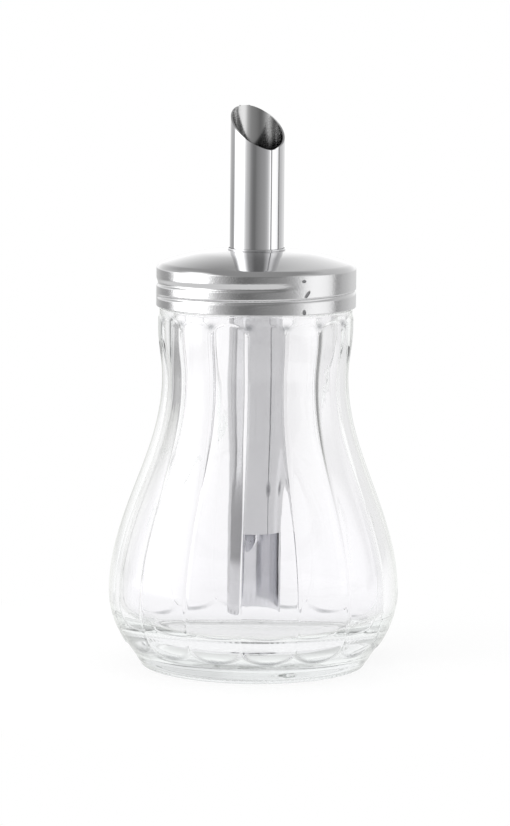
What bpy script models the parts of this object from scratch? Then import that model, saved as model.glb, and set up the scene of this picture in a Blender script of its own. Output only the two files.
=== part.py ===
"""Sugar dispenser: fluted glass jar, stamped steel screw lid, and a dosing spout with a hinged flap.

Metres, +Z up. The origin is the middle of the jar's foot, on the table. The front is -Y.
"""
import math

import bmesh
import bpy
from mathutils import Matrix, Vector

# The gap that every touching piece keeps, and how far a cutter runs past what it cuts
FIT_GAP = 0.0003
CUT_OVERRUN = 0.004

# How near two points are welded, and the steepest bend that is shaded smooth
WELD_DISTANCE = 0.000002
SMOOTH_ANGLE = math.radians(35.0)

# Glass jar
BELLY_RADIUS = 0.0380
BELLY_HEIGHT = 0.0193
BODY_HEIGHT = 0.0941
BODY_TOP_ROUND = 0.0007
WAIST_RADIUS = 0.0244
WAIST_DROP = 0.0181
SWELL_INSET = 0.0005
SWELL_DROP = 0.0053
HEEL_CURVE_RADIUS = 0.0205
HEEL_HEIGHT = 0.0060
FOOT_INSET = 0.0081
FOOT_EDGE_HEIGHT = 0.0011
FOOT_EDGE_WIDTH = 0.0011
BEARING_WIDTH = 0.0018
PUNT_SLOPE_WIDTH = 0.0030
PUNT_RISE = 0.0012
GLASS_WALL = 0.0030
BASE_THICKNESS = 0.0068
NECK_HEIGHT = 0.0098
LIP_ROUND = 0.0009

# Flutes pressed into the glass: gently convex lobes with a narrow groove between each two
FLUTE_COUNT = 16
FLUTE_TURN = math.radians(-85.0)
LOBE_DROP = 0.00042
GROOVE_DEPTH = 0.00032
GROOVE_HALF_WIDTH = 0.00045

# The lobes end in round arches at the top and in petals at the heel, above and below which the glass is plain
PLAIN_DROP = 0.0003
PLAIN_FADE_TOP = 0.0015
PLAIN_FADE_FOOT = 0.0030
ARCH_TOP_DROP = 0.0018
ARCH_RISE = 0.0029
ARCH_EDGE = 0.0010
PETAL_FOOT_HEIGHT = 0.0057
PETAL_RISE = 0.0036
PETAL_EDGE = 0.0013

# Screw thread, right-handed, on the neck and rolled into the lid
THREAD_PITCH = 0.0032
THREAD_DEPTH = 0.00065
THREAD_CLEARANCE = 0.00035
NECK_THREAD_WIDTH = 0.0018
LID_THREAD_WIDTH = 0.0021
LID_THREAD_START = 0.0027
LID_THREAD_START_TURN = math.radians(-180.0)
LID_THREAD_SWEEP = math.radians(477.0)
NECK_THREAD_START_TURN = math.radians(-90.0)
NECK_THREAD_SWEEP = math.radians(350.0)
THREAD_FADE_TURN = math.radians(24.0)

# Screw lid, pressed from steel sheet
LID_RADIUS = 0.0260
LID_SHEET = 0.0005
LID_CROWN_RADIUS = 0.0800
LID_SHOULDER_ROUND = 0.0012
LID_RIM_GAP = 0.0003

# Sealing ring between the lip and the lid
RING_THICKNESS = 0.0008
RING_WIDTH = 0.0027

# Spout tube, cut slanting at the mouth and open on one side near the floor of the jar
TUBE_RADIUS = 0.0070
TUBE_WALL = 0.0005
TUBE_FLOOR_GAP = 0.0069
TUBE_LENGTH = 0.1326
MOUTH_SLANT = math.radians(37.0)
POUR_TURN = math.radians(-59.0)
WINDOW_HEIGHT = 0.0212
WINDOW_DEPTH = 0.0032

# Collar: the eyelet that grips the lid's sheet and holds the tube
COLLAR_WALL = 0.00035
COLLAR_BEAD_WIDTH = 0.0005
COLLAR_BEAD_HEIGHT = 0.0007
COLLAR_FLANGE_WIDTH = 0.0019
COLLAR_FLANGE_THICKNESS = 0.0005

# Flap and its pin, across the bore just above the window
PIN_RADIUS = 0.0006
PIN_OFFSET = 0.0025
PIN_RISE = 0.0036
KNUCKLE_WALL = 0.0004
FLAP_THICKNESS = 0.0004
FLAP_CLOSED_TURN = math.radians(70.0)

# Facets
JAR_STEPS = 80
LID_STEPS = 60
TUBE_STEPS = 48
PIN_STEPS = 20
ARCH_ROWS = 7
WAIST_ROWS = 5
BODY_ROWS = 13
HEEL_ROWS = 4
PETAL_ROWS = 7
FLOOR_CORNER_ROWS = 6
INNER_ROWS = 7
NECK_THREAD_ROWS = 12
LID_THREAD_ROWS = 15
CROWN_ROWS = 6
ROUND_ROWS = 4
FLAP_TIP_POINTS = 14

# Worked out from the values above
WAIST_HEIGHT = BODY_HEIGHT - WAIST_DROP
SWELL_HEIGHT = BODY_HEIGHT - SWELL_DROP
SWELL_RADIUS = LID_RADIUS - SWELL_INSET
BODY_EDGE_HEIGHT = BODY_HEIGHT - BODY_TOP_ROUND
ARCH_TOP_HEIGHT = BODY_HEIGHT - ARCH_TOP_DROP
ARCH_FOOT_HEIGHT = ARCH_TOP_HEIGHT - ARCH_RISE - ARCH_EDGE
PETAL_TOP_HEIGHT = PETAL_FOOT_HEIGHT + PETAL_RISE + PETAL_EDGE
FOOT_RADIUS = BELLY_RADIUS - FOOT_INSET
BEARING_OUTER_RADIUS = FOOT_RADIUS - FOOT_EDGE_WIDTH
BEARING_INNER_RADIUS = BEARING_OUTER_RADIUS - BEARING_WIDTH
PUNT_RADIUS = BEARING_INNER_RADIUS - PUNT_SLOPE_WIDTH
LIP_HEIGHT = BODY_HEIGHT + NECK_HEIGHT
LID_INNER_RADIUS = LID_RADIUS - LID_SHEET
NECK_RADIUS = LID_INNER_RADIUS - THREAD_DEPTH - THREAD_CLEARANCE
NECK_INNER_RADIUS = NECK_RADIUS - GLASS_WALL
RIM_HEIGHT = BODY_HEIGHT + LID_RIM_GAP
RING_OUTER_RADIUS = NECK_RADIUS - FIT_GAP
RING_FOOT_HEIGHT = LIP_HEIGHT + FIT_GAP
RING_TOP_HEIGHT = RING_FOOT_HEIGHT + RING_THICKNESS
LID_INNER_ROUND = LID_SHOULDER_ROUND - LID_SHEET
SHOULDER_CENTRE_RADIUS = LID_RADIUS - LID_SHOULDER_ROUND
CROWN_REACH = math.sqrt((LID_CROWN_RADIUS - LID_SHEET) ** 2 - RING_OUTER_RADIUS ** 2)
CROWN_CENTRE_HEIGHT = RING_TOP_HEIGHT + FIT_GAP - CROWN_REACH
SHOULDER_REACH = math.sqrt((LID_CROWN_RADIUS - LID_SHOULDER_ROUND) ** 2 - SHOULDER_CENTRE_RADIUS ** 2)
SHOULDER_HEIGHT = CROWN_CENTRE_HEIGHT + SHOULDER_REACH
BORE_RADIUS = TUBE_RADIUS - TUBE_WALL
TUBE_FOOT_HEIGHT = BASE_THICKNESS + TUBE_FLOOR_GAP
TUBE_TOP_HEIGHT = TUBE_FOOT_HEIGHT + TUBE_LENGTH
MOUTH_CENTRE_HEIGHT = TUBE_TOP_HEIGHT - TUBE_RADIUS * math.tan(MOUTH_SLANT)
WINDOW_TOP_HEIGHT = TUBE_FOOT_HEIGHT + WINDOW_HEIGHT
COLLAR_BORE_RADIUS = TUBE_RADIUS + FIT_GAP
COLLAR_RADIUS = COLLAR_BORE_RADIUS + COLLAR_WALL
LID_HOLE_RADIUS = COLLAR_RADIUS + FIT_GAP
PIN_HEIGHT = WINDOW_TOP_HEIGHT + PIN_RISE
PIN_HALF_LENGTH = math.sqrt(TUBE_RADIUS ** 2 - (PIN_OFFSET + PIN_RADIUS) ** 2)
KNUCKLE_BORE_RADIUS = PIN_RADIUS + FIT_GAP
KNUCKLE_RADIUS = KNUCKLE_BORE_RADIUS + KNUCKLE_WALL
FLAP_ROOM_RADIUS = BORE_RADIUS - FIT_GAP
KNUCKLE_HALF_LENGTH = math.sqrt(FLAP_ROOM_RADIUS ** 2 - (PIN_OFFSET + KNUCKLE_RADIUS) ** 2)
POUR = Vector((math.cos(POUR_TURN), math.sin(POUR_TURN), 0))
ACROSS = Vector((-math.sin(POUR_TURN), math.cos(POUR_TURN), 0))
PIN_PLACE = ACROSS * -PIN_OFFSET + Vector((0, 0, PIN_HEIGHT))

GLASS_COLOUR = (0.93, 0.96, 0.95, 1)
STEEL_COLOUR = (0.62, 0.62, 0.63, 1)
POLISHED_COLOUR = (0.70, 0.70, 0.71, 1)
LINER_COLOUR = (0.86, 0.86, 0.83, 1)


def clear_scene():
    for item in list(bpy.data.objects):
        bpy.data.objects.remove(item, do_unlink=True)


def make_material(name, colour, metallic, roughness):
    material = bpy.data.materials.new(name)
    material.use_nodes = True
    shader = material.node_tree.nodes["Principled BSDF"]
    shader.inputs["Base Color"].default_value = colour
    shader.inputs["Metallic"].default_value = metallic
    shader.inputs["Roughness"].default_value = roughness
    return material


def make_collection(name):
    collection = bpy.data.collections.new(name)
    bpy.context.scene.collection.children.link(collection)
    return collection


def evaluated_mesh(item):
    """Give the mesh of an object with its modifiers, welded and with its faces out."""
    bpy.context.view_layer.update()
    graph = bpy.context.evaluated_depsgraph_get()
    mesh = bpy.data.meshes.new_from_object(item.evaluated_get(graph))
    shape = bmesh.new()
    shape.from_mesh(mesh)
    bmesh.ops.remove_doubles(shape, verts=shape.verts, dist=WELD_DISTANCE)
    bmesh.ops.dissolve_degenerate(shape, edges=shape.edges, dist=WELD_DISTANCE)
    bmesh.ops.recalc_face_normals(shape, faces=shape.faces)
    shape.to_mesh(mesh)
    shape.free()
    return mesh


def finish_piece(item, material, move=None):
    """Freeze a piece as a plain mesh, with one material and smooth round faces."""
    mesh = evaluated_mesh(item)
    if move:
        for vertex in mesh.vertices:
            vertex.co = move(vertex.co)
    item.modifiers.clear()
    item.data = mesh
    mesh.materials.clear()
    mesh.materials.append(material)
    mesh.shade_smooth()
    mesh.set_sharp_from_angle(angle=SMOOTH_ANGLE)


def add_turned(name, outline, steps, collection, ring=True):
    """Turn an outline of (radius, height) about Z; it runs down its outer side."""
    mesh = bpy.data.meshes.new(name)
    shape = bmesh.new()
    points = [shape.verts.new((radius, 0, height)) for radius, height in outline]
    for start, end in zip(points, points[1:]):
        shape.edges.new((start, end))
    if ring:
        shape.edges.new((points[-1], points[0]))
    shape.to_mesh(mesh)
    shape.free()
    item = bpy.data.objects.new(name, mesh)
    collection.objects.link(item)
    screw = item.modifiers.new("Turn", 'SCREW')
    screw.axis = 'Z'
    screw.steps = steps
    screw.render_steps = steps
    screw.use_merge_vertices = True
    screw.merge_threshold = WELD_DISTANCE
    screw.use_smooth_shade = True
    return item


def add_box(name, size, place, collection):
    bpy.ops.mesh.primitive_cube_add(size=1)
    item = bpy.context.object
    item.name = name
    item.data.transform(Matrix.Diagonal((*size, 1)))
    item.matrix_world = place
    move_to(item, collection)
    return item


def add_rod(name, radius, length, steps, place, collection):
    bpy.ops.mesh.primitive_cylinder_add(vertices=steps, radius=radius, depth=length)
    item = bpy.context.object
    item.name = name
    item.matrix_world = place
    move_to(item, collection)
    return item


def move_to(item, collection):
    for owner in list(item.users_collection):
        owner.objects.unlink(item)
    collection.objects.link(item)


def mark_as_cutter(item):
    item.hide_render = True
    item.display_type = 'WIRE'


def add_boolean(item, other, operation='DIFFERENCE'):
    cut = item.modifiers.new(other.name, 'BOOLEAN')
    cut.operation = operation
    cut.solver = 'EXACT'
    cut.object = other


def frame_at(place, x_axis, y_axis):
    """Give the place and turn of a piece whose own X and Y lie along two given directions."""
    z_axis = x_axis.cross(y_axis)
    turn = Matrix((x_axis, y_axis, z_axis)).transposed()
    return Matrix.Translation(place) @ turn.to_4x4()


def spread(start, end, count):
    """Give count even steps from start to end, both included."""
    return [start + (end - start) * step / (count - 1) for step in range(count)]


def ease(share):
    """Rise smoothly from 0 to 1, and stay flat outside that range."""
    share = min(max(share, 0), 1)
    return share * share * (3 - 2 * share)


def swell(share):
    """Rise from 0 to 1 with a sharp foot and a round top."""
    share = min(max(share, 0), 1)
    return 1 - (1 - share) ** 2


def wave(start, end, share):
    """Go from one radius to another along half a cosine."""
    return start + (end - start) * (1 - math.cos(math.pi * share)) / 2


def body_radius(height):
    """Radius of the jar's outside between the foot's edge and the neck, before its flutes."""
    if height < HEEL_HEIGHT:
        share = (height - FOOT_EDGE_HEIGHT) / (HEEL_HEIGHT - FOOT_EDGE_HEIGHT)
        return FOOT_RADIUS + (body_radius(HEEL_HEIGHT) - FOOT_RADIUS) * share
    if height > BODY_EDGE_HEIGHT:
        rise = min((height - BODY_EDGE_HEIGHT) / BODY_TOP_ROUND, 1)
        return NECK_RADIUS + (SWELL_RADIUS - NECK_RADIUS) * math.sqrt(1 - rise ** 2)
    if height < BELLY_HEIGHT:
        drop = BELLY_HEIGHT - height
        return BELLY_RADIUS - HEEL_CURVE_RADIUS + math.sqrt(HEEL_CURVE_RADIUS ** 2 - drop ** 2)
    if height < WAIST_HEIGHT:
        share = (height - BELLY_HEIGHT) / (WAIST_HEIGHT - BELLY_HEIGHT)
        return wave(BELLY_RADIUS, WAIST_RADIUS, share)
    share = min((height - WAIST_HEIGHT) / (SWELL_HEIGHT - WAIST_HEIGHT), 1)
    return wave(WAIST_RADIUS, SWELL_RADIUS, share)


def jar_outline():
    """Outline of the glass from the middle of its floor, over the lip, to the middle of its foot."""
    corner_radius = BELLY_HEIGHT - BASE_THICKNESS
    corner_centre = BELLY_RADIUS - GLASS_WALL - corner_radius
    outline = [(0, BASE_THICKNESS)]
    for turn in spread(0, math.pi / 2, FLOOR_CORNER_ROWS):
        radius = corner_centre + corner_radius * math.sin(turn)
        outline.append((radius, BELLY_HEIGHT - corner_radius * math.cos(turn)))
    for height in spread(BELLY_HEIGHT, WAIST_HEIGHT, INNER_ROWS)[1:]:
        outline.append((body_radius(height) - GLASS_WALL, height))
    outline.append((NECK_INNER_RADIUS, SWELL_HEIGHT))
    outline.append((NECK_INNER_RADIUS, LIP_HEIGHT - LIP_ROUND))
    for turn in spread(math.pi, math.pi / 2, ROUND_ROWS)[1:]:
        outline.append((NECK_INNER_RADIUS + LIP_ROUND * (1 + math.cos(turn)),
                        LIP_HEIGHT - LIP_ROUND * (1 - math.sin(turn))))
    for turn in spread(math.pi / 2, 0, ROUND_ROWS):
        outline.append((NECK_RADIUS - LIP_ROUND * (1 - math.cos(turn)),
                        LIP_HEIGHT - LIP_ROUND * (1 - math.sin(turn))))
    for height in spread(LIP_HEIGHT - LIP_ROUND, BODY_HEIGHT, NECK_THREAD_ROWS)[1:]:
        outline.append((NECK_RADIUS, height))
    for turn in spread(0, math.pi / 2, ROUND_ROWS)[1:]:
        height = BODY_HEIGHT - BODY_TOP_ROUND * (1 - math.cos(turn))
        outline.append((body_radius(height), height))
    for height in spread(BODY_EDGE_HEIGHT, ARCH_FOOT_HEIGHT, ARCH_ROWS)[1:]:
        outline.append((body_radius(height), height))
    for height in spread(ARCH_FOOT_HEIGHT, WAIST_HEIGHT, WAIST_ROWS)[1:]:
        outline.append((body_radius(height), height))
    for height in spread(WAIST_HEIGHT, BELLY_HEIGHT, BODY_ROWS)[1:]:
        outline.append((body_radius(height), height))
    for height in spread(BELLY_HEIGHT, PETAL_TOP_HEIGHT, HEEL_ROWS)[1:]:
        outline.append((body_radius(height), height))
    for height in spread(PETAL_TOP_HEIGHT, PETAL_FOOT_HEIGHT, PETAL_ROWS)[1:]:
        outline.append((body_radius(height), height))
    for height in spread(PETAL_FOOT_HEIGHT, FOOT_EDGE_HEIGHT, ROUND_ROWS)[1:]:
        outline.append((body_radius(height), height))
    outline.append((BEARING_OUTER_RADIUS, 0))
    outline.append((BEARING_INNER_RADIUS, 0))
    outline.append((PUNT_RADIUS, PUNT_RISE))
    outline.append((0, PUNT_RISE))
    return outline


def flute_side(turn):
    """Where a turn about Z lies on its lobe: 0 in the middle, -1 and 1 in the grooves beside it."""
    pitch = 2 * math.pi / FLUTE_COUNT
    return ((turn - FLUTE_TURN + pitch / 2) % pitch - pitch / 2) / (pitch / 2)


def crowd(turn):
    """Move a turn towards the nearer groove, so that the facets there are narrow."""
    side = flute_side(turn)
    return turn + (math.sin(side * math.pi / 2) - side) * math.pi / FLUTE_COUNT


def flute_drop(turn, radius, height):
    """How far the glass lies inside the middle of a lobe, at a turn about Z."""
    side = flute_side(turn)
    bow = 1 - math.sqrt(max(1 - side ** 2, 0))
    under_arch = swell((ARCH_TOP_HEIGHT - ARCH_RISE * bow - height) / ARCH_EDGE)
    over_petal = swell((height - PETAL_FOOT_HEIGHT - PETAL_RISE * bow) / PETAL_EDGE)
    from_groove = (1 - abs(side)) * radius * math.pi / FLUTE_COUNT
    lobe = LOBE_DROP * side ** 2 + GROOVE_DEPTH * math.exp(-(from_groove / GROOVE_HALF_WIDTH) ** 2)
    fade = ease((BODY_HEIGHT - height) / PLAIN_FADE_TOP) * ease((height - FOOT_EDGE_HEIGHT) / PLAIN_FADE_FOOT)
    return fade * (PLAIN_DROP + (lobe - PLAIN_DROP) * under_arch * over_petal)


def thread_height(start_turn, sweep, start_height, width, turn, height):
    """How high a helical ridge stands at a turn about Z and a height, from 0 to THREAD_DEPTH."""
    most = 0
    first = (turn - start_turn) % (2 * math.pi)
    for lap in range(math.ceil(sweep / (2 * math.pi))):
        along = first + lap * 2 * math.pi
        if along > sweep:
            continue
        middle = start_height + THREAD_PITCH * along / (2 * math.pi)
        away = abs(height - middle)
        if away < width / 2:
            fade = ease(along / THREAD_FADE_TURN) * ease((sweep - along) / THREAD_FADE_TURN)
            most = max(most, THREAD_DEPTH * fade * math.cos(math.pi * away / width) ** 2)
    return most


def neck_thread(turn, height):
    """The ridge on the glass runs half a pitch above the lid's groove."""
    lead = (NECK_THREAD_START_TURN - LID_THREAD_START_TURN) / (2 * math.pi)
    start = RIM_HEIGHT + LID_THREAD_START + THREAD_PITCH * (lead + 0.5)
    return thread_height(NECK_THREAD_START_TURN, NECK_THREAD_SWEEP, start, NECK_THREAD_WIDTH, turn, height)


def lid_thread(turn, height):
    start = RIM_HEIGHT + LID_THREAD_START
    return thread_height(LID_THREAD_START_TURN, LID_THREAD_SWEEP, start, LID_THREAD_WIDTH, turn, height)


def push_out(point, distance):
    radius = math.hypot(point.x, point.y)
    share = (radius + distance) / radius
    return Vector((point.x * share, point.y * share, point.z))


def shape_jar_point(point):
    radius = math.hypot(point.x, point.y)
    turn = crowd(math.atan2(point.y, point.x))
    point = Vector((radius * math.cos(turn), radius * math.sin(turn), point.z))
    if BODY_HEIGHT < point.z < LIP_HEIGHT - LIP_ROUND and radius > NECK_RADIUS - GLASS_WALL / 2:
        return push_out(point, neck_thread(turn, point.z))
    if FOOT_EDGE_HEIGHT < point.z < BODY_HEIGHT and radius > body_radius(point.z) - GLASS_WALL / 2:
        return push_out(point, -flute_drop(turn, radius, point.z))
    return point


def shape_lid_point(point):
    radius = math.hypot(point.x, point.y)
    if radius < LID_INNER_RADIUS - LID_SHEET:
        return point
    return push_out(point, -lid_thread(math.atan2(point.y, point.x), point.z))


def make_jar(collection, material):
    item = add_turned("glass_jar", jar_outline(), JAR_STEPS, collection, ring=False)
    item.data.transform(Matrix.Rotation(FLUTE_TURN + math.pi / FLUTE_COUNT, 4, 'Z'))
    finish_piece(item, material, shape_jar_point)
    return item


def crown_height(radius, crown_radius):
    return CROWN_CENTRE_HEIGHT + math.sqrt(crown_radius ** 2 - radius ** 2)


def lid_skin(crown_radius, round_radius, side_radius):
    """One face of the lid's sheet, from its hole over the crown and shoulder to the rim."""
    meet_radius = SHOULDER_CENTRE_RADIUS * LID_CROWN_RADIUS / (LID_CROWN_RADIUS - LID_SHOULDER_ROUND)
    meet_turn = math.asin(meet_radius / LID_CROWN_RADIUS)
    skin = []
    for radius in spread(LID_HOLE_RADIUS, crown_radius * math.sin(meet_turn), CROWN_ROWS):
        skin.append((radius, crown_height(radius, crown_radius)))
    for turn in spread(math.pi / 2 - meet_turn, 0, ROUND_ROWS + 1)[1:]:
        skin.append((SHOULDER_CENTRE_RADIUS + round_radius * math.cos(turn),
                     SHOULDER_HEIGHT + round_radius * math.sin(turn)))
    for height in spread(SHOULDER_HEIGHT, RIM_HEIGHT, LID_THREAD_ROWS)[1:]:
        skin.append((side_radius, height))
    return skin


def make_lid(collection, material):
    outer = lid_skin(LID_CROWN_RADIUS, LID_SHOULDER_ROUND, LID_RADIUS)
    inner = lid_skin(LID_CROWN_RADIUS - LID_SHEET, LID_INNER_ROUND, LID_INNER_RADIUS)
    item = add_turned("screw_lid", outer + inner[::-1], LID_STEPS, collection)
    finish_piece(item, material, shape_lid_point)
    return item


def make_sealing_ring(collection, material):
    outline = [
        (RING_OUTER_RADIUS, RING_TOP_HEIGHT),
        (RING_OUTER_RADIUS, RING_FOOT_HEIGHT),
        (RING_OUTER_RADIUS - RING_WIDTH, RING_FOOT_HEIGHT),
        (RING_OUTER_RADIUS - RING_WIDTH, RING_TOP_HEIGHT),
    ]
    item = add_turned("sealing_ring", outline, LID_STEPS, collection)
    finish_piece(item, material)
    return item


def make_collar(collection, material):
    """An eyelet: a bead on the crown, a sleeve through the lid's hole and a flange under the sheet."""
    bead_radius = COLLAR_RADIUS + COLLAR_BEAD_WIDTH
    flange_radius = COLLAR_RADIUS + COLLAR_FLANGE_WIDTH
    bead_foot = crown_height(COLLAR_RADIUS, LID_CROWN_RADIUS) + FIT_GAP
    bead_top = bead_foot + COLLAR_BEAD_HEIGHT
    flange_top = crown_height(flange_radius, LID_CROWN_RADIUS - LID_SHEET) - FIT_GAP
    flange_foot = flange_top - COLLAR_FLANGE_THICKNESS
    bead_round = COLLAR_BEAD_HEIGHT / 2
    outline = [
        (COLLAR_BORE_RADIUS, bead_top),
        (bead_radius - bead_round, bead_top),
        (bead_radius, bead_top - bead_round),
        (bead_radius, bead_foot),
        (COLLAR_RADIUS, bead_foot),
        (COLLAR_RADIUS, flange_top),
        (flange_radius, flange_top),
        (flange_radius, flange_foot),
        (COLLAR_BORE_RADIUS, flange_foot),
    ]
    item = add_turned("spout_collar", outline, TUBE_STEPS, collection)
    finish_piece(item, material)
    return item


def make_tube(collection, cutters, material):
    outline = [
        (TUBE_RADIUS, TUBE_TOP_HEIGHT),
        (TUBE_RADIUS, TUBE_FOOT_HEIGHT),
        (BORE_RADIUS, TUBE_FOOT_HEIGHT),
        (BORE_RADIUS, TUBE_TOP_HEIGHT),
    ]
    item = add_turned("spout_tube", outline, TUBE_STEPS, collection)
    add_boolean(item, mouth_cutter(cutters))
    add_boolean(item, window_cutter(cutters))
    add_boolean(item, pin_hole_cutter(cutters))
    finish_piece(item, material)
    return item


def mouth_cutter(cutters):
    """A block above the slanting plane of the mouth, which is lowest towards the pour side."""
    side = 2 * (TUBE_RADIUS / math.cos(MOUTH_SLANT) + CUT_OVERRUN)
    height = 2 * TUBE_RADIUS * math.tan(MOUTH_SLANT) + CUT_OVERRUN
    along = POUR * math.cos(MOUTH_SLANT) - Vector((0, 0, math.sin(MOUTH_SLANT)))
    place = frame_at(Vector((0, 0, MOUTH_CENTRE_HEIGHT)), along, ACROSS)
    lift = Matrix.Translation((0, 0, height / 2))
    cutter = add_box("mouth_cutter", (side, side, height), place @ lift, cutters)
    mark_as_cutter(cutter)
    return cutter


def window_cutter(cutters):
    """A block that cuts a flat off the pour side, from the foot of the tube to the window's top."""
    depth = WINDOW_DEPTH + CUT_OVERRUN
    height = WINDOW_HEIGHT + CUT_OVERRUN
    width = 2 * (TUBE_RADIUS + CUT_OVERRUN)
    middle = POUR * (TUBE_RADIUS - WINDOW_DEPTH + depth / 2)
    middle.z = WINDOW_TOP_HEIGHT - height / 2
    cutter = add_box("window_cutter", (depth, width, height), frame_at(middle, POUR, ACROSS), cutters)
    mark_as_cutter(cutter)
    return cutter


def pin_frame():
    """The pin's own frame: Z along the pour direction, X up."""
    up = Vector((0, 0, 1))
    return frame_at(PIN_PLACE, up, POUR.cross(up))


def pin_hole_cutter(cutters):
    radius = PIN_RADIUS + FIT_GAP
    length = 2 * (TUBE_RADIUS + CUT_OVERRUN)
    cutter = add_rod("pin_hole_cutter", radius, length, PIN_STEPS, pin_frame(), cutters)
    mark_as_cutter(cutter)
    return cutter


def make_pin(collection, material):
    item = add_rod("flap_pin", PIN_RADIUS, 2 * PIN_HALF_LENGTH, PIN_STEPS, pin_frame(), collection)
    finish_piece(item, material)
    return item


def flap_half_width(reach):
    """Half the flap's width at a distance from the pin, so that it clears the bore as it swings."""
    widest = math.sqrt(FLAP_ROOM_RADIUS ** 2 - (PIN_OFFSET + FLAP_THICKNESS / 2) ** 2)
    closed_reach = reach * math.sin(FLAP_CLOSED_TURN) + FLAP_THICKNESS / 2 - PIN_OFFSET
    closed = math.sqrt(max(FLAP_ROOM_RADIUS ** 2 - closed_reach ** 2, 0))
    return min(widest, closed)


def flap_outline():
    """The plate's outline beside the pin: (distance below the pin, distance along it)."""
    root = (KNUCKLE_BORE_RADIUS + KNUCKLE_RADIUS) / 2
    tip = (FLAP_ROOM_RADIUS - FLAP_THICKNESS / 2 + PIN_OFFSET) / math.sin(FLAP_CLOSED_TURN)
    middle = root + (tip - root) / 3
    side = [(root, KNUCKLE_HALF_LENGTH), (KNUCKLE_RADIUS + FIT_GAP, KNUCKLE_HALF_LENGTH)]
    for turn in spread(0, math.pi / 2, FLAP_TIP_POINTS)[:-1]:
        reach = middle + (tip - middle) * math.sin(turn)
        side.append((reach, flap_half_width(reach)))
    return side + [(tip, 0)] + [(reach, -width) for reach, width in reversed(side)]


def make_flap(collection, cutters, material):
    """A plate that hangs from a rolled knuckle on the pin; its origin is on the pin's axis."""
    knuckle = add_rod("dosing_flap", KNUCKLE_RADIUS, 2 * KNUCKLE_HALF_LENGTH, PIN_STEPS, pin_frame(), collection)
    curve = bpy.data.curves.new("flap_plate", 'CURVE')
    curve.dimensions = '2D'
    curve.fill_mode = 'BOTH'
    curve.extrude = FLAP_THICKNESS / 2
    outline = flap_outline()
    line = curve.splines.new('POLY')
    line.points.add(len(outline) - 1)
    for point, (reach, width) in zip(line.points, outline):
        point.co = (reach, width, 0, 1)
    line.use_cyclic_u = True
    flat = bpy.data.objects.new("flap_plate_outline", curve)
    cutters.objects.link(flat)
    plate = bpy.data.objects.new("flap_plate", evaluated_mesh(flat))
    plate.matrix_world = frame_at(PIN_PLACE, Vector((0, 0, -1)), POUR)
    cutters.objects.link(plate)
    bpy.data.objects.remove(flat)
    mark_as_cutter(plate)
    bore = add_rod("knuckle_bore", KNUCKLE_BORE_RADIUS, 2 * (KNUCKLE_HALF_LENGTH + CUT_OVERRUN), PIN_STEPS,
                   pin_frame(), cutters)
    mark_as_cutter(bore)
    add_boolean(knuckle, plate, 'UNION')
    add_boolean(knuckle, bore)
    finish_piece(knuckle, material)
    return knuckle


def main():
    clear_scene()
    pieces = make_collection("sugar_dispenser")
    cutters = make_collection("cutters")
    glass = make_material("clear glass", GLASS_COLOUR, 0.0, 0.03)
    satin = make_material("satin steel", STEEL_COLOUR, 1.0, 0.28)
    polished = make_material("polished steel", POLISHED_COLOUR, 1.0, 0.08)
    liner = make_material("liner board", LINER_COLOUR, 0.0, 0.6)
    make_jar(pieces, glass)
    make_sealing_ring(pieces, liner)
    make_lid(pieces, satin)
    make_collar(pieces, polished)
    make_tube(pieces, cutters, polished)
    make_pin(pieces, polished)
    make_flap(pieces, cutters, polished)


main()
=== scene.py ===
"""Looks of the sugar dispenser: pressed fluted glass, satin and polished steel, in a white photo booth."""
import math

import bpy
from mathutils import Matrix, Vector


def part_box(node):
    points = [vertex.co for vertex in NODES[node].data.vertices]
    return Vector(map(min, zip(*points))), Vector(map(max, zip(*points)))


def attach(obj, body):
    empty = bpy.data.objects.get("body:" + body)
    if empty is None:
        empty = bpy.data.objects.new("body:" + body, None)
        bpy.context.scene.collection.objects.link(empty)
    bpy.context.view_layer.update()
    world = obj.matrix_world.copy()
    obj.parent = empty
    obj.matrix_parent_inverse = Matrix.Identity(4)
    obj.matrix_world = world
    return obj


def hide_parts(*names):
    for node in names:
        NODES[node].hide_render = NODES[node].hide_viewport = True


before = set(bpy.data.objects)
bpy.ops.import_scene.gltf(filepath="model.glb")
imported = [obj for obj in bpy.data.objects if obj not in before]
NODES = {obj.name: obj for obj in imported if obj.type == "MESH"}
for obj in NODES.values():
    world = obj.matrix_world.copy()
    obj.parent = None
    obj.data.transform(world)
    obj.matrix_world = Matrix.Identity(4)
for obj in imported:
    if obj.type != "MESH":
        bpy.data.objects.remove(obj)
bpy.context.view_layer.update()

MM = 0.001
TURN = 2 * math.pi
MERGE_GAP = 0.002 * MM

# Sizes that the frame gives
LID_LOW, LID_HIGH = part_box("screw_lid")
TUBE_LOW, TUBE_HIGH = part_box("spout_tube")
LID_RADIUS = LID_HIGH.x
RIM_HEIGHT = LID_LOW.z
LIP_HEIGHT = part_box("glass_jar")[1].z
TUBE_RADIUS = TUBE_HIGH.x
TUBE_FOOT = TUBE_LOW.z
TUBE_TOP = TUBE_HIGH.z

# Glass jar, as the solid has it
BELLY_RADIUS = 38.0 * MM
BELLY_HEIGHT = 19.3 * MM
WAIST_RADIUS = 24.4 * MM
WAIST_HEIGHT = 76.0 * MM
SWELL_RADIUS = 25.5 * MM
SWELL_HEIGHT = 88.8 * MM
HEEL_LINE_HEIGHT = 1.1 * MM
FOOT_RADIUS = 29.9 * MM
GLASS_WALL = 3.0 * MM
BASE_THICKNESS = 6.8 * MM
NECK_RADIUS = 24.5 * MM
NECK_FOOT = 94.1 * MM
NECK_FOOT_ROUND = 0.7 * MM
LIP_ROUND = 0.9 * MM
BOWL_POWER = 2.8  # the inner floor's roundness: 2 is a ball, more is squarer

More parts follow.
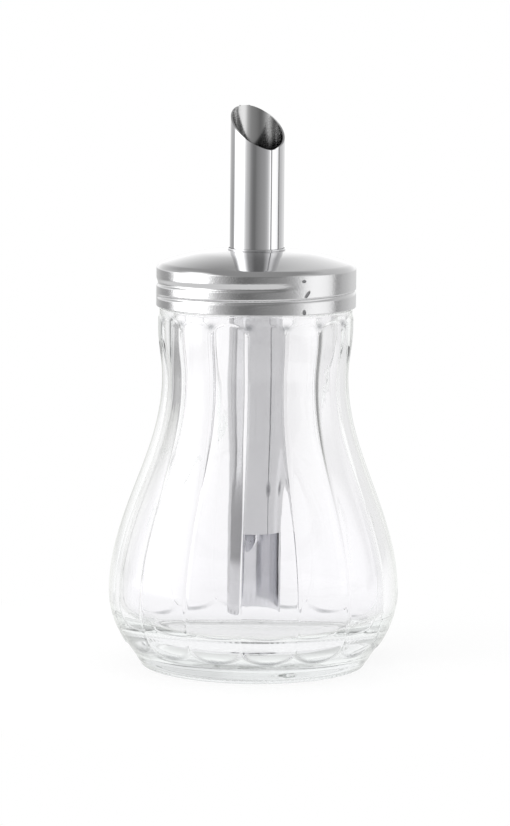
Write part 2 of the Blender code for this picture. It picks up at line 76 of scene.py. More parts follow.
# Rows of points down the outside, finer where the relief is: (from, to, number of rows)
OUTER_ROWS = [(93.4 * MM, 86 * MM, 40), (86 * MM, 16 * MM, 104), (16 * MM, 10.5 * MM, 14),
              (10.5 * MM, 5 * MM, 36), (5 * MM, HEEL_LINE_HEIGHT, 14)]
# The foot's underside in millimetres, from the heel over the bearing ring into the shallow hollow
FOOT_PROFILE = [(29.55, 1.0), (29.6, 0.6), (29.3, 0.15), (28.8, 0), (27.6, 0), (26.9, 0.15), (25.6, 0.8),
                (24, 1.2), (12, 1.2), (0, 1.2)]
JAR_STEPS = 288
BOWL_ROWS, INNER_ROWS, LIP_ROWS, NECK_ROWS, NECK_FOOT_ROWS = 40, 28, 8, 34, 9

# Flutes: drop of a lobe's side, depth of the crease and its width, at the belly and at the waist
FLUTE_COUNT = 16
HALF_LOBE = math.pi / FLUTE_COUNT
BELLY_FLUTE = (0.06 * MM, 0.14 * MM, 0.24 * MM)
WAIST_FLUTE = (0.46 * MM, 0.32 * MM, 0.45 * MM)
FLUTE_CHANGE = (40 * MM, 64 * MM)
RING_DROP = 0.42 * MM
FLUTE_TURN = math.radians(-83.3)
HEEL_FADE_FROM, HEEL_FADE = 1 * MM, 3 * MM
FLUTE_TOP = 92.3 * MM
ARCH_DROP = 2.9 * MM
ARCH_EDGE = 0.55 * MM
PETAL_FOOT = 5.7 * MM
PETAL_RISE = 3.6 * MM
PETAL_EDGE = 0.55 * MM
PETAL_SHADE = (0.3 * MM, 0.8 * MM)
CREASE_END = 91.3 * MM
CREASE_END_SPREAD = (1.3 * MM, 0.9 * MM)

# Thread
PITCH = 3.2 * MM
LID_THREAD = dict(start=math.radians(-180), sweep=math.radians(477), height=RIM_HEIGHT + 2.7 * MM, depth=0.42 * MM,
                  below=0.7 * MM, above=0.7 * MM, widen=1.0 * MM)
NECK_THREAD = dict(start=math.radians(-90), sweep=math.radians(350), height=RIM_HEIGHT + 5.1 * MM, depth=0.65 * MM,
                   below=0.9 * MM, above=0.9 * MM, widen=0)
THREAD_FADE = math.radians(24)

# Lid
SHEET = 0.5 * MM
CROWN_RADIUS = 76.0 * MM
CROWN_LIFT = 0.25 * MM
DISH_DEPTH = 0.3 * MM
DISH_WIDTH = 9.0 * MM
DOME_ROUND = 3.2 * MM
CORNER_ROUND = 0.35 * MM
CORNER_TURN = math.radians(58)
INNER_CORNER = 0.2 * MM
LID_HOLE = 7.95 * MM
HOLE_GAP = 0.35 * MM
CROWN_CENTRE = LID_HIGH.z + CROWN_LIFT - math.sqrt(CROWN_RADIUS ** 2 - LID_HOLE ** 2)
CORNER_START = LID_RADIUS - CORNER_ROUND * (1 - math.sin(CORNER_TURN))
CROWN_EDGE = (CORNER_START - DOME_ROUND * math.sin(CORNER_TURN)) / (1 - DOME_ROUND / CROWN_RADIUS)
CROWN_TURN = math.asin(CROWN_EDGE / CROWN_RADIUS)
DOME_TOP = CROWN_CENTRE + CROWN_RADIUS * math.cos(CROWN_TURN)
CORNER_TOP = DOME_TOP - DOME_ROUND * (math.cos(CROWN_TURN) - math.cos(CORNER_TURN))
SIDE_TOP = CORNER_TOP - CORNER_ROUND * math.cos(CORNER_TURN)
LID_STEPS = 288
CROWN_ROWS, DOME_ROWS, CORNER_ROWS, HEM_ROWS = 22, 12, 7, 8
OUTER_SIDE_ROWS, INNER_SIDE_ROWS = 60, 40
# Dents at the start of the rolled thread: turn, height, half width, half length and slant
PINCHES = [(math.radians(-62.1), 103.2 * MM, 0.6 * MM, 0.4 * MM, 0),
           (math.radians(-59.8), 99.8 * MM, 0.45 * MM, 1.15 * MM, math.radians(-39)),
           (math.radians(-61.8), 95.2 * MM, 0.5 * MM, 0.75 * MM, 0)]

# Collar: a bead on the crown, then the sleeve and flange below it as (out, down) in millimetres
COLLAR_GAP = 0.03 * MM
COLLAR_BEAD = 0.27 * MM
COLLAR_SINK = 0.12 * MM
COLLAR_SLEEVE = [(0.25, 0.1), (0.25, 0.9), (2, 1.1), (2, 1.6), (0, 1.6)]
COLLAR_STEPS = 144
BEAD_ROWS = 14

# Tube
TUBE_WALL = 0.5 * MM
POUR_TURN = math.radians(-59)
MOUTH_SLANT = math.radians(37)
WINDOW_TOP = 34.9 * MM
WINDOW_DEPTH = 3.2 * MM
WINDOW_CUTTER = (8 * MM, 24 * MM)
WINDOW_BELOW = 4 * MM
TUBE_STEPS = 240
TUBE_RINGS = (WINDOW_TOP + 2 * MM, 80 * MM, 105 * MM, 120 * MM)
SEAM_DEPTH = 0.07 * MM
SEAM_TURN = math.radians(0.5)
MOUTH_NOTCH = 0.4 * MM
MOUTH_NOTCH_TURN = math.radians(30)
WELD_HEIGHT = 46.7 * MM
WELD_TURNS = (0, math.radians(29))

# Smallest angle that stays an edge, and that gets rounded, on the pieces copied from the solids
FLAT_ANGLE = math.radians(1)
EDGE_ANGLE = math.radians(40)

# Towards the low side of the mouth, where the seam and the open foot are, and across it
POUR = Vector((math.cos(POUR_TURN), math.sin(POUR_TURN), 0))
ACROSS = Vector((-math.sin(POUR_TURN), math.cos(POUR_TURN), 0))

# Camera: the photograph's frame is 510 by 826, with its long side on a 36 mm sensor
FRAME_LONG_SIDE = 826
FOCAL_PIXELS = 4000
SENSOR = 36.0
CAMERA_DISTANCE = 1.036
CAMERA_HEIGHT = 0.2052
CAMERA_PITCH = math.radians(7.639)
CAMERA_ROLL = math.radians(0.57)


def make_camera():
    data = bpy.data.cameras.new("camera")
    data.sensor_width = SENSOR
    data.lens = FOCAL_PIXELS / FRAME_LONG_SIDE * SENSOR
    camera = bpy.data.objects.new("camera", data)
    camera.location = (0, -CAMERA_DISTANCE, CAMERA_HEIGHT)
    look = Matrix.Rotation(math.pi / 2 - CAMERA_PITCH, 4, 'X') @ Matrix.Rotation(CAMERA_ROLL, 4, 'Z')
    camera.rotation_euler = look.to_euler()
    bpy.context.scene.collection.objects.link(camera)
    bpy.context.scene.camera = camera


# Small helpers

def spread(start, end, count):
    return [start + (end - start) * step / (count - 1) for step in range(count)]


def ease(share):
    share = min(max(share, 0), 1)
    return share * share * (3 - 2 * share)


def swell(share):
    """Rise from 0 to 1 with a sharp foot and a round top."""
    share = min(max(share, 0), 1)
    return 1 - (1 - share) ** 2


def wave(start, end, share):
    return start + (end - start) * (1 - math.cos(math.pi * share)) / 2


def deselect():
    if bpy.context.mode != 'OBJECT':
        bpy.ops.object.mode_set(mode='OBJECT')
    bpy.ops.object.select_all(action='DESELECT')


def select_only(item):
    deselect()
    item.select_set(True)
    bpy.context.view_layer.objects.active = item


def settle(item):
    """Put the object's place and size into its mesh."""
    select_only(item)
    bpy.ops.object.transform_apply(location=True, rotation=True, scale=True)


def smooth(item, angle):
    select_only(item)
    bpy.ops.object.shade_smooth_by_angle(angle=math.radians(angle))


def apply_all(item):
    select_only(item)
    for modifier in list(item.modifiers):
        bpy.ops.object.modifier_apply(modifier=modifier.name)


def spin_profile(name, profile, steps, start_turn=0):
    """Draw a (radius, height) profile by extruding one point, then spin it about Z."""
    deselect()
    bpy.ops.mesh.primitive_plane_add(size=MM)
    item = bpy.context.object
    item.name = name
    bpy.ops.object.mode_set(mode='EDIT')
    bpy.ops.mesh.select_mode(type='VERT')
    bpy.ops.mesh.select_all(action='SELECT')
    bpy.ops.mesh.merge(type='CENTER')
    place = Vector((0, 0, 0))
    for step, (radius, height) in enumerate(profile):
        point = Vector((radius * math.cos(start_turn), radius * math.sin(start_turn), height))
        move = {"value": point - place}
        if step:
            bpy.ops.mesh.extrude_region_move(TRANSFORM_OT_translate=move)
        else:
            bpy.ops.transform.translate(**move)
        place = point
    bpy.ops.mesh.select_all(action='SELECT')
    bpy.ops.mesh.spin(steps=steps, angle=TURN, center=(0, 0, 0), axis=(0, 0, 1))
    bpy.ops.mesh.select_all(action='SELECT')
    bpy.ops.mesh.remove_doubles(threshold=MERGE_GAP)
    bpy.ops.mesh.normals_make_consistent(inside=False)
    bpy.ops.object.mode_set(mode='OBJECT')
    return item


def shape_points(item, rule):
    """Move each point of a mesh by a rule that turns (turn about Z, radius, height) into a new turn and radius."""
    for vertex in item.data.vertices:
        place = vertex.co
        radius = math.hypot(place.x, place.y)
        if radius < MM:
            continue
        turn, radius = rule(math.atan2(place.y, place.x), radius, place.z)
        vertex.co = (radius * math.cos(turn), radius * math.sin(turn), place.z)


def finish(item, material, body, slot, *nodes):
    """Give a piece its material, the body that it rides on and the frame's nodes that it replaces; its slot is not
    used.
    """
    item.data.materials.clear()
    item.data.materials.append(material)
    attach(item, body)
    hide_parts(*nodes)


# Jar

def body_radius(height):
    """Radius of the jar's outside at a height, before the flutes are pressed in."""
    if height > NECK_FOOT - NECK_FOOT_ROUND:
        rise = (height - NECK_FOOT + NECK_FOOT_ROUND) / NECK_FOOT_ROUND
        return NECK_RADIUS + (SWELL_RADIUS - NECK_RADIUS) * math.sqrt(max(1 - rise * rise, 0))
    if height < BELLY_HEIGHT:
        drop = (BELLY_HEIGHT - height) / (BELLY_HEIGHT - HEEL_LINE_HEIGHT)
        return BELLY_RADIUS - (BELLY_RADIUS - FOOT_RADIUS) * drop ** 2
    if height < WAIST_HEIGHT:
        return wave(BELLY_RADIUS, WAIST_RADIUS, (height - BELLY_HEIGHT) / (WAIST_HEIGHT - BELLY_HEIGHT))
    return wave(WAIST_RADIUS, SWELL_RADIUS, min((height - WAIST_HEIGHT) / (SWELL_HEIGHT - WAIST_HEIGHT), 1))


def thread(turn, height, run):
    """How far a helical ridge stands proud at a turn and a height."""
    first = (turn - run["start"]) % TURN
    proud = 0
    for lap in range(2):
        along = first + lap * TURN
        away = height - run["height"] - PITCH * along / TURN
        reach = run["below"] if away < 0 else run["above"] + run["widen"] * ease(along / math.pi - 1)
        if along <= run["sweep"] and abs(away) < reach:
            fade = ease(along / THREAD_FADE) * ease((run["sweep"] - along) / THREAD_FADE)
            proud = max(proud, run["depth"] * fade * math.cos(math.pi / 2 * away / reach) ** 2)
    return proud


def flute_side(turn):
    """Where a turn lies on its lobe: -1 and 1 are the creases, 0 the middle."""
    return ((turn - FLUTE_TURN + HALF_LOBE) % (2 * HALF_LOBE) - HALF_LOBE) / HALF_LOBE


def crowd(turn):
    """Draw the points of a lobe towards its creases."""
    side = flute_side(turn)
    return turn + (math.sin(side * math.pi / 2) - side) * HALF_LOBE


def arch_bow(side):
    """How far the round end of a lobe bends back: 0 in the lobe's middle, 1 at its creases."""
    return 1 - math.sqrt(max(1 - side * side, 0))


def crease_distance(side, radius):
    return (1 - abs(side)) * radius * HALF_LOBE


def flute_relief(side, radius, height):
    """How far the glass lies inside the middle of a lobe."""
    bow = arch_bow(side)
    top = swell((FLUTE_TOP - ARCH_DROP * bow - height) / ARCH_EDGE)
    foot = swell((height - PETAL_FOOT - PETAL_RISE * bow) / PETAL_EDGE)
    low, high = FLUTE_CHANGE
    up = ease((height - low) / (high - low))
    drop, depth, width = [belly + (waist - belly) * up for belly, waist in zip(BELLY_FLUTE, WAIST_FLUTE)]
    lobe = drop * side ** 2 + depth * math.exp(-(crease_distance(side, radius) / width) ** 2)
    return RING_DROP + (lobe - RING_DROP) * top * foot


def pressed_edge(side, radius, height):
    """Painted shade for the glass: 1 in a dark crescent under the middle of a petal and where a crease ends under the
    lid.
    """
    bow = arch_bow(side)
    middle, reach = PETAL_SHADE
    petal = max(1 - ((height - PETAL_FOOT - PETAL_RISE * bow - middle) / reach) ** 2, 0) * (1 - side * side) ** 2
    wide, tall = CREASE_END_SPREAD
    crease_end = math.exp(-(crease_distance(side, radius) / wide) ** 2 - ((height - CREASE_END) / tall) ** 2)
    return max(petal, crease_end)


def mark_edges(item):
    """Store the painted shade at each point of the outside, for the glass to show it darker."""
    marks = item.data.attributes.new("pressed edge", 'FLOAT', 'POINT')
    for vertex, mark in zip(item.data.vertices, marks.data):
        place = vertex.co
        radius = math.hypot(place.x, place.y)
        if place.z < NECK_FOOT and radius > body_radius(place.z) - GLASS_WALL / 2:
            mark.value = pressed_edge(flute_side(math.atan2(place.y, place.x)), radius, place.z)


def shape_jar(turn, radius, height):
    """Press the flutes into the body and raise the thread on the neck."""
    turn = crowd(turn)
    if NECK_FOOT <= height < LIP_HEIGHT - LIP_ROUND and radius > NECK_RADIUS - GLASS_WALL / 2:
        return turn, radius + thread(turn, height, NECK_THREAD)
    if HEEL_FADE_FROM < height < NECK_FOOT and radius > body_radius(height) - GLASS_WALL / 2:
        fade = ease((NECK_FOOT - height) / NECK_FOOT_ROUND) * ease((height - HEEL_FADE_FROM) / HEEL_FADE)
        return turn, radius - flute_relief(flute_side(turn), radius, height) * fade
    return turn, radius


def jar_profile():
    """The jar's section from the middle of its floor, up the inside, over the lip and down to the foot."""
    bowl = BELLY_HEIGHT - BASE_THICKNESS
    neck_inner = NECK_RADIUS - GLASS_WALL
    profile = []
    for turn in spread(0, math.pi / 2, BOWL_ROWS):
        out, down = math.sin(turn) ** (2 / BOWL_POWER), math.cos(turn) ** (2 / BOWL_POWER)
        profile.append(((BELLY_RADIUS - GLASS_WALL) * out, BELLY_HEIGHT - bowl * down))
    for height in spread(BELLY_HEIGHT, SWELL_HEIGHT, INNER_ROWS)[1:]:
        inner = body_radius(height) - GLASS_WALL
        profile.append((min(inner, neck_inner) if height > WAIST_HEIGHT else inner, height))
    profile.append((neck_inner, LIP_HEIGHT - LIP_ROUND))
    for turn in spread(math.pi, math.pi / 2, LIP_ROWS)[1:]:
        profile.append((neck_inner + LIP_ROUND * (1 + math.cos(turn)), LIP_HEIGHT - LIP_ROUND * (1 - math.sin(turn))))
    for turn in spread(math.pi / 2, 0, LIP_ROWS):
        profile.append((NECK_RADIUS - LIP_ROUND * (1 - math.cos(turn)), LIP_HEIGHT - LIP_ROUND * (1 - math.sin(turn))))
    for height in spread(LIP_HEIGHT - LIP_ROUND, NECK_FOOT, NECK_ROWS)[1:]:
        profile.append((NECK_RADIUS, height))
    for turn in spread(0, math.pi / 2, NECK_FOOT_ROWS)[1:]:
        height = NECK_FOOT - NECK_FOOT_ROUND * (1 - math.cos(turn))
        profile.append((body_radius(height), height))
    for high, low, rows in OUTER_ROWS:
        for height in spread(high, low, rows)[1:]:
            profile.append((body_radius(height), height))
    profile += [(radius * MM, height * MM) for radius, height in FOOT_PROFILE]
    return profile


def make_jar(material):
    item = spin_profile("jar_glass", jar_profile(), JAR_STEPS, FLUTE_TURN + HALF_LOBE)
    shape_points(item, shape_jar)
    mark_edges(item)
    smooth(item, angle=85)
    finish(item, material, "jar", "clear_glass", "glass_jar")


# Lid

def crown_height(radius, inset=0):
    """Height of the crown, a ball's cap with a very shallow dish round the tube."""
    dish = DISH_DEPTH * (1 - ease((radius - TUBE_RADIUS) / DISH_WIDTH))
    return CROWN_CENTRE + math.sqrt((CROWN_RADIUS - inset) ** 2 - radius ** 2) - dish


def crown_skin(hole, inset, rows):
    """One face of the sheet from the hole, over the crown, its dome edge and corner, down to the rim."""
    skin = []
    for radius in spread(hole, CROWN_EDGE * (1 - inset / CROWN_RADIUS), CROWN_ROWS):
        skin.append((radius, crown_height(radius, inset)))
    for turn in spread(CROWN_TURN, CORNER_TURN, DOME_ROWS)[1:]:
        skin.append((CORNER_START + DOME_ROUND * (math.sin(turn) - math.sin(CORNER_TURN)) - inset * math.sin(turn),
                     CORNER_TOP + DOME_ROUND * (math.cos(turn) - math.cos(CORNER_TURN)) - inset * math.cos(turn)))
    top = SIDE_TOP
    if inset:
        top = skin[-1][1] - INNER_CORNER
    else:
        for turn in spread(CORNER_TURN, math.pi / 2, CORNER_ROWS)[1:]:
            skin.append((LID_RADIUS - CORNER_ROUND * (1 - math.sin(turn)), SIDE_TOP + CORNER_ROUND * math.cos(turn)))
    for height in spread(top, RIM_HEIGHT + SHEET / 2, rows)[1:]:
        skin.append((LID_RADIUS - inset, height))
    return skin


def shape_lid(turn, radius, height):
    """Roll the thread into the lid's side."""
    if radius < LID_RADIUS - 2 * SHEET:
        return turn, radius
    return turn, radius - thread(turn, height, LID_THREAD)


def make_lid(material):
    hole = TUBE_RADIUS + HOLE_GAP
    outer = crown_skin(hole, 0, OUTER_SIDE_ROWS)
    inner = crown_skin(hole, SHEET, INNER_SIDE_ROWS)
    edge = [(LID_RADIUS - SHEET / 2 * (1 - math.cos(turn)), RIM_HEIGHT + SHEET / 2 * (1 - math.sin(turn)))
            for turn in spread(0, math.pi, HEM_ROWS)[1:-1]]
    item = spin_profile("lid_sheet", outer + edge + inner[::-1], LID_STEPS)
    shape_points(item, shape_lid)
    smooth(item, angle=50)
    finish(item, material, "lid", "satin_steel", "screw_lid")


def make_collar(material):
    inner = TUBE_RADIUS + COLLAR_GAP
    seat = crown_height(inner + COLLAR_BEAD) - COLLAR_SINK
    profile = []
    for turn in spread(math.pi / 2, -math.pi / 2, BEAD_ROWS):
        profile.append((inner + COLLAR_BEAD * (1 + math.cos(turn)), seat + COLLAR_BEAD * (1 + math.sin(turn))))
    profile += [(inner + out * MM, seat - down * MM) for out, down in COLLAR_SLEEVE]
    item = spin_profile("collar_bead", profile, COLLAR_STEPS)
    smooth(item, angle=50)
    finish(item, material, "lid", "polished_steel", "spout_collar")


# Tube

def cut(item, cutter):
    """Take a box out of a piece."""
    modifier = item.modifiers.new("cut", 'BOOLEAN')
    modifier.object = cutter
    modifier.solver = 'EXACT'
    apply_all(item)
    bpy.data.objects.remove(cutter)


def make_tube(material):
    """Roll the tube, cut its slanting mouth, press the seam in, give it a wall and open its foot."""
    deselect()
    length = TUBE_TOP - TUBE_FOOT
    bpy.ops.mesh.primitive_cylinder_add(vertices=TUBE_STEPS, radius=TUBE_RADIUS, depth=length,
                                        end_fill_type='NOTHING', location=(0, 0, TUBE_FOOT + length / 2))
    item = bpy.context.object
    item.name = "tube_steel"
    item.rotation_euler.z = POUR_TURN
    settle(item)
    middle = TUBE_TOP - TUBE_RADIUS * math.tan(MOUTH_SLANT)
    normal = POUR * math.sin(MOUTH_SLANT) + Vector((0, 0, math.cos(MOUTH_SLANT)))
    bpy.ops.object.mode_set(mode='EDIT')
    bpy.ops.mesh.select_all(action='SELECT')
    bpy.ops.mesh.bisect(plane_co=(0, 0, middle), plane_no=normal, clear_outer=True)
    for height in TUBE_RINGS:
        bpy.ops.mesh.select_all(action='SELECT')
        bpy.ops.mesh.bisect(plane_co=(0, 0, height), plane_no=(0, 0, 1))
    bpy.ops.object.mode_set(mode='OBJECT')
    for vertex in item.data.vertices:
        place = vertex.co
        away = Vector((place.x, place.y, 0)).angle(POUR)
        if place.z > middle - TUBE_RADIUS:
            vertex.co.z -= MOUTH_NOTCH * max(1 - away / MOUTH_NOTCH_TURN, 0)
        if away < SEAM_TURN:
            vertex.co -= POUR * SEAM_DEPTH
    solid = item.modifiers.new("wall", 'SOLIDIFY')
    solid.thickness = TUBE_WALL
    solid.offset = -1
    apply_all(item)
    window_low = TUBE_FOOT - WINDOW_BELOW
    bpy.ops.mesh.primitive_cube_add(size=1)
    window = bpy.context.object
    window.scale = (*WINDOW_CUTTER, WINDOW_TOP - window_low)
    window.rotation_euler.z = POUR_TURN
    window.location = POUR * (TUBE_RADIUS - WINDOW_DEPTH + WINDOW_CUTTER[0] / 2)
    window.location.z = (WINDOW_TOP + window_low) / 2
    settle(window)
    cut(item, window)
    smooth(item, angle=30)
    finish(item, material, "lid", "polished_steel", "spout_tube")


def finer_copy(name, node, width, material, body, slot):
    """Copy a small solid, weld it, drop its flat edges and round its sharp ones."""
    item = bpy.data.objects.new(name, NODES[node].data.copy())
    bpy.context.scene.collection.objects.link(item)
    select_only(item)
    bpy.ops.object.mode_set(mode='EDIT')
    bpy.ops.mesh.select_all(action='SELECT')
    bpy.ops.mesh.remove_doubles(threshold=MERGE_GAP)
    bpy.ops.mesh.dissolve_limited(angle_limit=FLAT_ANGLE)
    bpy.ops.object.mode_set(mode='OBJECT')
    bevel = item.modifiers.new("edge", 'BEVEL')
    bevel.width = width
    bevel.segments = 2
    bevel.limit_method = 'ANGLE'
    bevel.angle_limit = EDGE_ANGLE
    apply_all(item)
    smooth(item, angle=35)
    finish(item, material, body, slot, node)


# Materials

NOISE_SPAN = (0.3, 0.7)  # what a noise texture hardly leaves
SMUDGE_SCALE = 140
STEEL_GRAIN = 0.02 * MM
TUBE_SCRATCHES = (2600, 2600, 60)
TUBE_SMUDGES = (0.35, 0.7)
TUBE_STEEL = (0.66, 0.66, 0.67)
TUBE_ROUGHNESS = (0.045, 0.1)
WELD_STEEL = (0.24, 0.24, 0.25)
WELD_SHAPE = (1, 1, 0.28)
WELD_EDGE = (0.2 * MM, 0.75 * MM)
SEAM_EDGE = (0.08 * MM, 0.2 * MM)
SEAM_WAVER = 0.12 * MM
SEAM_SIDE = (TUBE_RADIUS - MM, TUBE_RADIUS - 0.5 * MM)
BORE_FACE = (TUBE_RADIUS - 0.3 * MM, TUBE_RADIUS - 0.2 * MM)
BORE_HEIGHTS = (WINDOW_TOP, TUBE_TOP - 25 * MM)
# Bore colour with painted light and shade: lighter than the outer steel at the window, darker up towards the mouth
BORE_STEEL = [(0, (0.76, 0.76, 0.78)), (1, (0.5, 0.5, 0.5))]
BORE_ROUGHER = 0.08
FLAP_SCRATCHES = (3000, 3000, 200)
# Flap colour raised almost to white as painted light, far above the other steel
FLAP_STEEL = [(0, (0.92, 0.92, 0.94)), (1, (0.97, 0.97, 0.99))]
FLAP_ROUGHNESS = (0.2, 0.3)
LID_RINGS = (9000, 1, 9000)
LID_SCRATCHES = (2600, 2600, 2600)
LID_STEEL = (0.57, 0.57, 0.575)
LID_ROUGHNESS = (0.03, 0.06)
LID_SMUDGES = 0.05
LID_BRUSHING = 0.08
LID_GRAIN = (2.0, 0.1)
CROWN_EDGE_HEIGHTS = (SIDE_TOP, CORNER_TOP + 0.3 * MM)
# Colour of the painted shade in the dents where the thread starts
DENT_STEEL = (0.16, 0.16, 0.165)
DENT_DEPTH = 9
DENT_REACH = 4
DENT_EDGE = (0.5, 1.2)
GLASS_IOR = 1.51
# Painted shade: the glass's colour greys towards grazing angles, standing in for its darker edges
GLASS_FACING = [(0.6, (0.997, 0.994, 1)), (1, (0.45, 0.48, 0.4))]
# Glass colour by height: darker and bluer towards the bottom
GLASS_BODY = [(0, (0.945, 0.95, 0.96)), (0.16, (0.985, 0.985, 0.99)), (0.4, (0.992, 0.99, 0.999)),
              (1, (0.998, 0.997, 1))]
GLASS_BODY_TOP = 50 * MM
# Colour of the painted shade in the dark crescents under the petals and at the crease ends
GLASS_RELIEF = (0.24, 0.25, 0.26)
GLASS_GREEN = (0.88, 0.92, 0.9)
GLASS_DENSITY = 9
# Mirrorings and steps after which the glass lets light straight on, between two whole numbers
GLASS_MIRRORS, GLASS_STEPS = 3.5, 5.5
STIPPLE_COUNT = 110
STIPPLE_HEIGHTS = (0.9 * MM, 0.7 * MM)
UNEVEN_SCALE, UNEVEN_DEPTH = 90, 1.4
STREAK_STRETCH, STREAK_DEPTH = (300, 300, 22), 0.9
LINER_GRAIN, LINER_ROUGHNESS = 4000, 0.7
LINER_BOARD = [(0, (0.74, 0.74, 0.70)), (1, (0.86, 0.86, 0.82))]


def new_material(name):
    material = bpy.data.materials.new(name)
    material.use_nodes = True
    return material, material.node_tree.nodes, material.node_tree.links


def feed(links, socket, value):
    """Link a node's output to a socket, or set the socket to a plain value."""
    if isinstance(value, bpy.types.NodeSocket):
        links.new(value, socket)
    else:
        socket.default_value = value


def add_operation(nodes, links, kind, operation, first, second):
    node = nodes.new(kind)
    node.operation = operation
    feed(links, node.inputs[0], first)
    if second is not None:
        feed(links, node.inputs[1], second)
    return node


def add_math(nodes, links, operation, first, second=None):
    return add_operation(nodes, links, "ShaderNodeMath", operation, first, second).outputs["Value"]


def add_vector_math(nodes, links, operation, first, second=None):
    node = add_operation(nodes, links, "ShaderNodeVectorMath", operation, first, second)
    return node.outputs["Value" if operation in ('DOT_PRODUCT', 'LENGTH') else "Vector"]


def add_range(nodes, links, value, low, high, new_low, new_high):
    node = nodes.new("ShaderNodeMapRange")
    node.inputs["From Min"].default_value = low
    node.inputs["From Max"].default_value = high
    node.inputs["To Min"].default_value = new_low
    node.inputs["To Max"].default_value = new_high
    links.new(value, node.inputs["Value"])
    return node.outputs["Result"]


def add_choice(nodes, links, share, off, on):
    """A number between two others, by a share from 0 to 1."""
    mix = nodes.new("ShaderNodeMix")
    mix.data_type = 'FLOAT'
    for socket, value in zip((mix.inputs[0], *mix.inputs[2:4]), (share, off, on)):
        feed(links, socket, value)
    return mix.outputs[0]


def add_mix(nodes, links, share, first, second, blend='MIX'):
    """A colour between two others, by a share from 0 to 1."""
    mix = nodes.new("ShaderNodeMix")
    mix.data_type = 'RGBA'
    mix.blend_type = blend
    feed(links, mix.inputs[0], share)
    for socket, value in zip(mix.inputs[6:8], (first, second)):
        feed(links, socket, (*value, 1) if isinstance(value, tuple) else value)
    return mix.outputs[2]


def add_colours(nodes, links, share, stops):
    """Run through (position, colour) stops, by a share from 0 to 1."""
    ramp = nodes.new("ShaderNodeValToRGB")
    elements = ramp.color_ramp.elements
    for number, (position, colour) in ((0, stops[0]), (1, stops[-1])):
        elements[number].position = position
        elements[number].color = (*colour, 1)
    for position, colour in stops[1:-1]:
        elements.new(position).color = (*colour, 1)
    links.new(share, ramp.inputs[0])
    return ramp.outputs["Color"]


def add_noise(nodes, links, place, scale, detail, roughness=0.5):
    noise = nodes.new("ShaderNodeTexNoise")
    noise.inputs["Scale"].default_value = scale
    noise.inputs["Detail"].default_value = detail
    noise.inputs["Roughness"].default_value = roughness
    links.new(place, noise.inputs["Vector"])
    return noise.outputs["Fac"]


def add_bump(nodes, links, height, strength, distance):
    bump = nodes.new("ShaderNodeBump")
    bump.inputs["Strength"].default_value = strength
    bump.inputs["Distance"].default_value = distance
    links.new(height, bump.inputs["Height"])
    return bump.outputs["Normal"]


def add_split(nodes, links, vector):
    """A vector's "X", "Y" and "Z"."""
    split = nodes.new("ShaderNodeSeparateXYZ")
    links.new(vector, split.inputs[0])
    return split.outputs


def object_place(nodes):
    return nodes.new("ShaderNodeTexCoord").outputs["Object"]


def axis_distance(nodes, links, place):
    """Distance of a point from the object's upright axis."""
    return add_vector_math(nodes, links, 'LENGTH', add_vector_math(nodes, links, 'MULTIPLY', place, (1, 1, 0)))


def steel_wear_group():
    """Fine wear for steel: long faint scratches and broad smudges, both from 0 to 1."""
    group = bpy.data.node_groups.new("steel wear", 'ShaderNodeTree')
    for name in ("Place", "Stretch"):
        group.interface.new_socket(name, in_out='INPUT', socket_type='NodeSocketVector')
    for name in ("Scratches", "Smudges"):
        group.interface.new_socket(name, in_out='OUTPUT', socket_type='NodeSocketFloat')
    nodes, links = group.nodes, group.links
    source = nodes.new("NodeGroupInput")
    out = nodes.new("NodeGroupOutput")
    drawn = add_vector_math(nodes, links, 'MULTIPLY', source.outputs["Place"], source.outputs["Stretch"])
    links.new(add_noise(nodes, links, drawn, scale=1, detail=4, roughness=0.6), out.inputs["Scratches"])
    broad = add_noise(nodes, links, source.outputs["Place"], scale=SMUDGE_SCALE, detail=3)
    links.new(broad, out.inputs["Smudges"])
    return group


def add_wear(nodes, links, place, stretch, group):
    wear = nodes.new("ShaderNodeGroup")
    wear.node_tree = group
    links.new(place, wear.inputs["Place"])
    wear.inputs["Stretch"].default_value = stretch
    return wear.outputs["Scratches"], wear.outputs["Smudges"]


def seam_mask(nodes, links, place, waver):
    """1 along the tube's welded seam, 0 elsewhere, with a slightly wavering edge."""
    off = add_math(nodes, links, 'ABSOLUTE', add_vector_math(nodes, links, 'DOT_PRODUCT', place, ACROSS))
    off = add_math(nodes, links, 'ADD', off, add_range(nodes, links, waver, *NOISE_SPAN, 0, SEAM_WAVER))
    front = add_vector_math(nodes, links, 'DOT_PRODUCT', place, POUR)
    return add_math(nodes, links, 'MULTIPLY', add_range(nodes, links, off, *SEAM_EDGE, 1, 0),
                    add_range(nodes, links, front, *SEAM_SIDE, 0, 1))


def weld_marks(nodes, links, place):
    """1 in the dark upright marks of two spot welds, 0 elsewhere."""
    total = 0
    for turn in WELD_TURNS:
        spot = Matrix.Rotation(turn, 3, 'Z') @ POUR * TUBE_RADIUS
        away = add_vector_math(nodes, links, 'SUBTRACT', place, (spot.x, spot.y, WELD_HEIGHT))
        away = add_vector_math(nodes, links, 'MULTIPLY', away, WELD_SHAPE)
        away = add_vector_math(nodes, links, 'LENGTH', away)
        total = add_math(nodes, links, 'ADD', add_range(nodes, links, away, *WELD_EDGE, 1, 0), total)
    return total


def pinch_marks(nodes, links, place):
    """1 in the small dents where the rolled thread was started, one above the other."""
    total = 0
    for turn, height, half_width, half_length, slant in PINCHES:
        outward = Vector((math.cos(turn), math.sin(turn), 0))
        along = Matrix.Rotation(slant, 3, outward) @ Vector((0, 0, 1))
        middle = outward * LID_RADIUS + Vector((0, 0, height))
        away = add_vector_math(nodes, links, 'SUBTRACT', place, middle)
        reach = 0
        for direction, half in ((along, half_length), (along.cross(outward), half_width),
                                (outward, DENT_REACH * half_length)):
            part = add_vector_math(nodes, links, 'DOT_PRODUCT', away, direction / half)
            reach = add_math(nodes, links, 'ADD', add_math(nodes, links, 'POWER', part, 2), reach)
        total = add_math(nodes, links, 'ADD', add_range(nodes, links, reach, *DENT_EDGE, 1, 0), total)
    return total


